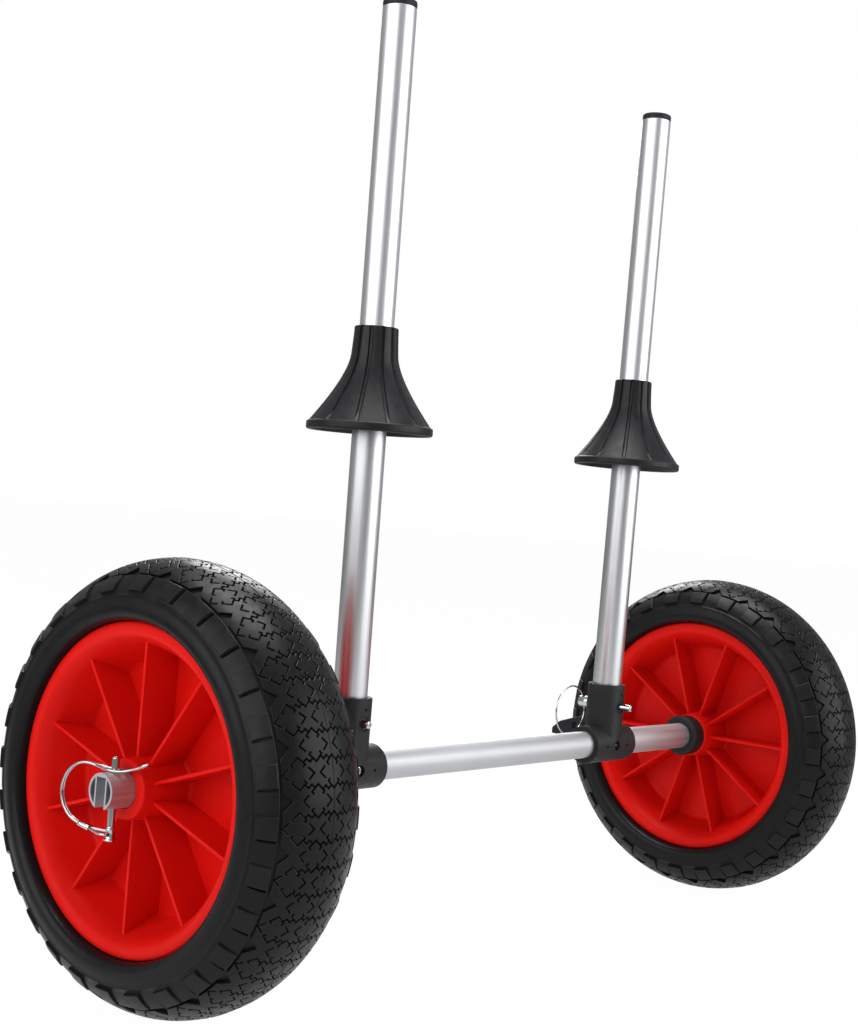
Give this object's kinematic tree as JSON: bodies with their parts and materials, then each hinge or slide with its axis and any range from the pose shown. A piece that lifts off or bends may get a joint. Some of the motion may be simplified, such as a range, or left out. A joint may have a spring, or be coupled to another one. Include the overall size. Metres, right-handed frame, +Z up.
{
  "type": "kayak cart",
  "caption": "Scupper kayak cart: foam-tyred wheels on an aluminium axle, with upright posts in T joints and sliding fluted cones.",
  "frame": {"origin": "on the ground under the middle of the axle, halfway between the wheels", "axes": "+X along the axle towards the right-hand wheel, +Y to the side that the pull rings and strap eyes are on, +Z up along the posts"},
  "size_m": [0.8, 0.2986, 0.7127],
  "materials": {
    "aluminium": "satin anodised",
    "black_plastic": "matt moulded charcoal",
    "red_plastic": "semi-gloss moulded red",
    "tyre_foam": "matt closed-cell foam",
    "cone_rubber": "matt soft rubber",
    "chrome": "bright plated steel"
  },
  "bodies": {
    "frame": {"axle_tube": "aluminium", "t_joint_left": "black_plastic", "t_joint_screw_left": "chrome", "post_left": "aluminium", "post_cap_left": "black_plastic", "spacer_collar_left": "black_plastic", "t_joint_right": "black_plastic", "t_joint_screw_right": "chrome", "post_right": "aluminium", "post_cap_right": "black_plastic", "spacer_collar_right": "black_plastic"},
    "wheel_left": {"rim_left": "red_plastic", "tyre_left": "tyre_foam"},
    "cone_left": {"cone_left": "cone_rubber"},
    "detent_pin_left": {"detent_pin_left": "chrome", "detent_spring_left": "chrome"},
    "detent_ball_left": {"detent_ball_left": "chrome"},
    "pull_ring_left": {"pull_ring_left": "chrome"},
    "lock_pin_left": {"lock_pin_left": "chrome"},
    "bail_left": {"bail_left": "chrome", "bail_ferrule_left": "chrome"},
    "wheel_right": {"rim_right": "red_plastic", "tyre_right": "tyre_foam"},
    "cone_right": {"cone_right": "cone_rubber"},
    "detent_pin_right": {"detent_pin_right": "chrome", "detent_spring_right": "chrome"},
    "detent_ball_right": {"detent_ball_right": "chrome"},
    "pull_ring_right": {"pull_ring_right": "chrome"},
    "lock_pin_right": {"lock_pin_right": "chrome"},
    "bail_right": {"bail_right": "chrome", "bail_ferrule_right": "chrome"}
  },
  "joints": [
    {"name": "wheel_left_spin", "type": "hinge", "parent": "frame", "child": "wheel_left", "pos_m": [-0.3416, 0, 0.1493], "axis": [1, 0, 0], "continuous": true},
    {"name": "cone_left_slide", "type": "slide", "parent": "frame", "child": "cone_left", "axis": [-0.0127, 0, 0.9999], "range_m": [-0.1932, 0.234]},
    {"name": "detent_pin_left_pull", "type": "slide", "parent": "frame", "child": "detent_pin_left", "axis": [0, 1, 0], "range_m": [-0.0066, 0.0414]},
    {"name": "detent_ball_left_press", "type": "slide", "parent": "detent_pin_left", "child": "detent_ball_left", "axis": [0, 0, 1], "range_m": [0, 0.0003], "stiffness_N_per_m": 500, "springref_m": -0.001, "deforming": ["detent_spring_left"]},
    {"name": "pull_ring_left_swing", "type": "hinge", "parent": "detent_pin_left", "child": "pull_ring_left", "pos_m": [-0.1753, 0.0294, 0.1837], "axis": [0.342, 0, -0.9397], "range_deg": [-11.5, 65]},
    {"name": "lock_pin_left_lift", "type": "slide", "parent": "frame", "child": "lock_pin_left", "axis": [0, 0, 1], "range_m": [0, 0.0112]},
    {"name": "bail_left_swing", "type": "hinge", "parent": "lock_pin_left", "child": "bail_left", "pos_m": [-0.3879, 0, 0.1216], "axis": [-0.9781, -0.2079, 0], "range_deg": [0, 160]},
    {"name": "wheel_right_spin", "type": "hinge", "parent": "frame", "child": "wheel_right", "pos_m": [0.3416, 0, 0.1493], "axis": [1, 0, 0], "continuous": true},
    {"name": "cone_right_slide", "type": "slide", "parent": "frame", "child": "cone_right", "axis": [0.0127, 0, 0.9999], "range_m": [-0.1932, 0.234]},
    {"name": "detent_pin_right_pull", "type": "slide", "parent": "frame", "child": "detent_pin_right", "axis": [0, 1, 0], "range_m": [0, 0.048]},
    {"name": "detent_ball_right_press", "type": "slide", "parent": "detent_pin_right", "child": "detent_ball_right", "axis": [0, 0, 1], "range_m": [0, 0.0003], "stiffness_N_per_m": 500, "springref_m": -0.001, "deforming": ["detent_spring_right"]},
    {"name": "pull_ring_right_swing", "type": "hinge", "parent": "detent_pin_right", "child": "pull_ring_right", "pos_m": [0.1587, 0.0228, 0.1837], "axis": [0.342, 0, -0.9397], "range_deg": [-11.5, 65]},
    {"name": "lock_pin_right_lift", "type": "slide", "parent": "frame", "child": "lock_pin_right", "axis": [0, 0, 1], "range_m": [0, 0.0112]},
    {"name": "bail_right_swing", "type": "hinge", "parent": "lock_pin_right", "child": "bail_right", "pos_m": [0.3879, 0, 0.1216], "axis": [0.9781, 0.2079, 0], "range_deg": [0, 160]}
  ]
}
